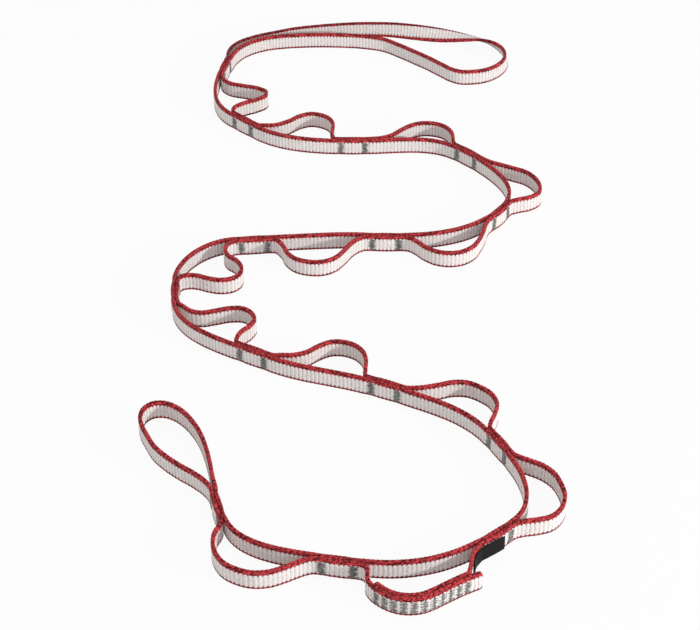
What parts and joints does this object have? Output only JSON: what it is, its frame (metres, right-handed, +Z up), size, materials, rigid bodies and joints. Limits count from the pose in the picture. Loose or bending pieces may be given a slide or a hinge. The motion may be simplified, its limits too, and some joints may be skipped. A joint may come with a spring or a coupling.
{
  "type": "climbing daisy chain",
  "caption": "Sewn webbing chain of clip-in pockets closed by bar tacks, with a long and a short end loop, lying open on its edge in a zigzag.",
  "frame": {"origin": "centre of the footprint of the chain, on the surface that it stands on", "axes": "+Z up, across the width of the webbing that stands on its edge; +Y along the zigzag, from the short end loop to the long one; +X across it, the way the long end loop runs"},
  "size_m": [0.2498, 0.637, 0.0122],
  "materials": {
    "webbing_white": "woven UHMWPE and polyamide tape, pale with red selvedges, ribbed across its width",
    "tack_thread_grey": "dense zigzag bar tack in bonded thread",
    "splice_thread_grey": "short zigzag columns in bonded thread",
    "label_black": "thin woven label tape, bare"
  },
  "bodies": {
    "long_end_loop": {"webbing_long_end_loop": "webbing_white"},
    "pocket_01": {"webbing_spine_01": "webbing_white", "webbing_pocket_01": "webbing_white", "bar_tack_01a": "tack_thread_grey", "bar_tack_01b": "tack_thread_grey"},
    "pocket_02": {"webbing_spine_02": "webbing_white", "webbing_pocket_02": "webbing_white", "bar_tack_02a": "tack_thread_grey", "bar_tack_02b": "tack_thread_grey"},
    "pocket_03": {"webbing_spine_03": "webbing_white", "webbing_pocket_03": "webbing_white", "bar_tack_03a": "tack_thread_grey", "bar_tack_03b": "tack_thread_grey"},
    "pocket_04": {"webbing_spine_04": "webbing_white", "webbing_pocket_04": "webbing_white", "bar_tack_04a": "tack_thread_grey", "bar_tack_04b": "tack_thread_grey"},
    "pocket_05": {"webbing_spine_05": "webbing_white", "webbing_pocket_05": "webbing_white", "bar_tack_05a": "tack_thread_grey", "bar_tack_05b": "tack_thread_grey"},
    "pocket_06": {"webbing_spine_06": "webbing_white", "webbing_pocket_06": "webbing_white", "bar_tack_06a": "tack_thread_grey", "bar_tack_06b": "tack_thread_grey"},
    "pocket_07": {"webbing_spine_07": "webbing_white", "webbing_pocket_07": "webbing_white", "bar_tack_07a": "tack_thread_grey", "bar_tack_07b": "tack_thread_grey"},
    "pocket_08": {"webbing_spine_08": "webbing_white", "webbing_pocket_08": "webbing_white", "bar_tack_08a": "tack_thread_grey", "bar_tack_08b": "tack_thread_grey"},
    "pocket_09": {"webbing_spine_09": "webbing_white", "webbing_pocket_09": "webbing_white", "bar_tack_09a": "tack_thread_grey", "bar_tack_09b": "tack_thread_grey"},
    "pocket_10": {"webbing_spine_10": "webbing_white", "webbing_pocket_10": "webbing_white", "bar_tack_10a": "tack_thread_grey", "bar_tack_10b": "tack_thread_grey"},
    "pocket_11": {"webbing_spine_11": "webbing_white", "webbing_pocket_11": "webbing_white", "bar_tack_11a": "tack_thread_grey", "bar_tack_11b": "tack_thread_grey"},
    "pocket_12": {"webbing_spine_12": "webbing_white", "webbing_pocket_12": "webbing_white", "bar_tack_12a": "tack_thread_grey", "bar_tack_12b": "tack_thread_grey", "webbing_splice_lap": "webbing_white", "splice_stitching": "splice_thread_grey", "label_tape": "label_black"},
    "pocket_13": {"webbing_spine_13": "webbing_white", "webbing_pocket_13": "webbing_white", "bar_tack_13a": "tack_thread_grey", "bar_tack_13b": "tack_thread_grey"},
    "short_end_loop": {"webbing_short_end_loop": "webbing_white", "bar_tack_14a": "tack_thread_grey", "bar_tack_14b": "tack_thread_grey"}
  },
  "joints": [
    {"name": "bend_01", "type": "hinge", "parent": "pocket_01", "child": "long_end_loop", "pos_m": [-0.09851, 0.25923, 0.006], "axis": [0, 0, -1], "range_deg": [-28, 22]},
    {"name": "bend_02", "type": "hinge", "parent": "pocket_02", "child": "pocket_01", "pos_m": [-0.09099, 0.17714, 0.006], "axis": [0, 0, 1], "range_deg": [-26, 28]},
    {"name": "bend_03", "type": "hinge", "parent": "pocket_03", "child": "pocket_02", "pos_m": [-0.01647, 0.14035, 0.006], "axis": [0, 0, -1], "range_deg": [-28, 15]},
    {"name": "bend_04", "type": "hinge", "parent": "pocket_04", "child": "pocket_03", "pos_m": [0.06732, 0.1334, 0.006], "axis": [0, 0, 1], "range_deg": [-22, 28]},
    {"name": "bend_05", "type": "hinge", "parent": "pocket_05", "child": "pocket_04", "pos_m": [0.10092, 0.06011, 0.006], "axis": [0, 0, -1], "range_deg": [-28, 28]},
    {"name": "bend_06", "type": "hinge", "parent": "pocket_06", "child": "pocket_05", "pos_m": [0.03127, 0.01823, 0.006], "axis": [0, 0, 1], "range_deg": [-28, 28]},
    {"name": "bend_07", "type": "hinge", "parent": "pocket_07", "child": "pocket_06", "pos_m": [-0.05459, 0.01528, 0.006], "axis": [0, 0, -1], "range_deg": [-28, 26]},
    {"name": "bend_08", "type": "hinge", "parent": "pocket_07", "child": "pocket_08", "pos_m": [-0.11438, -0.03158, 0.006], "axis": [0, 0, -1], "range_deg": [-20, 28]},
    {"name": "bend_09", "type": "hinge", "parent": "pocket_08", "child": "pocket_09", "pos_m": [-0.0727, -0.09968, 0.006], "axis": [0, 0, 1], "range_deg": [-28, 16]},
    {"name": "bend_10", "type": "hinge", "parent": "pocket_09", "child": "pocket_10", "pos_m": [0.00625, -0.13287, 0.006], "axis": [0, 0, -1], "range_deg": [-18, 28]},
    {"name": "bend_11", "type": "hinge", "parent": "pocket_10", "child": "pocket_11", "pos_m": [0.07635, -0.18012, 0.006], "axis": [0, 0, 1], "range_deg": [-18, 22]},
    {"name": "bend_12", "type": "hinge", "parent": "pocket_11", "child": "pocket_12", "pos_m": [0.08629, -0.25928, 0.006], "axis": [0, 0, -1], "range_deg": [-28, 15]},
    {"name": "bend_13", "type": "hinge", "parent": "pocket_12", "child": "pocket_13", "pos_m": [0.00466, -0.29131, 0.006], "axis": [0, 0, 1], "range_deg": [-22, 22]},
    {"name": "bend_14", "type": "hinge", "parent": "pocket_13", "child": "short_end_loop", "pos_m": [-0.0704, -0.258, 0.006], "axis": [0, 0, -1], "range_deg": [-28, 28]}
  ]
}
